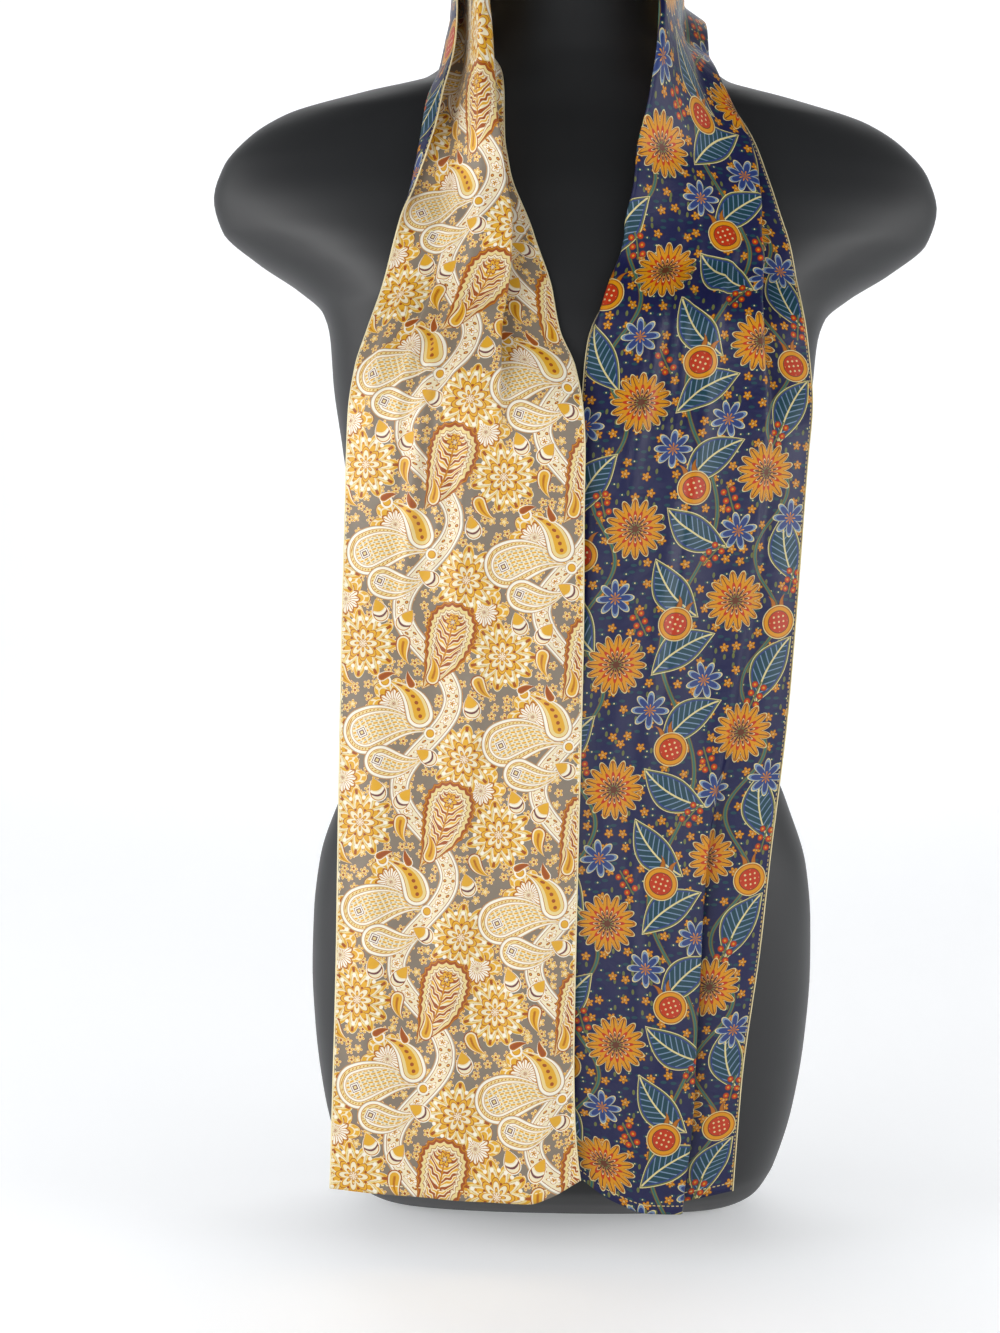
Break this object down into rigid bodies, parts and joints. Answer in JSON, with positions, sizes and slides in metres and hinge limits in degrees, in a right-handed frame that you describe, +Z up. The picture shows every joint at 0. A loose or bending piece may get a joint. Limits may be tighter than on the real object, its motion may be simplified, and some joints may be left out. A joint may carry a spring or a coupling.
{
  "type": "silk scarf on a torso dress form",
  "caption": "Long two-sided printed silk scarf, paisley on one side, hung open round the neck of a smooth black limbless torso dress form, its ends falling down the front.",
  "frame": {"origin": "centre of the whole part's box at its bottom, on the form's flat base", "axes": "+Z up along the torso, +X to the viewer's right, -Y towards the viewer, on the side where the scarf's ends hang"},
  "size_m": [0.4468, 0.2428, 0.815],
  "materials": {
    "black_plastic": "smooth satin black plastic",
    "gold_silk": "smooth printed silk, soft sheen, gold and cream paisley on taupe",
    "navy_silk": null
  },
  "bodies": {
    "root": {"torso_form": "black_plastic", "gold_left_fall": "gold_silk", "navy_left_fall": "navy_silk", "gold_neck_wrap": "gold_silk", "navy_neck_wrap": "navy_silk", "gold_right_fall": "gold_silk", "navy_right_fall": "navy_silk"}
  },
  "joints": []
}
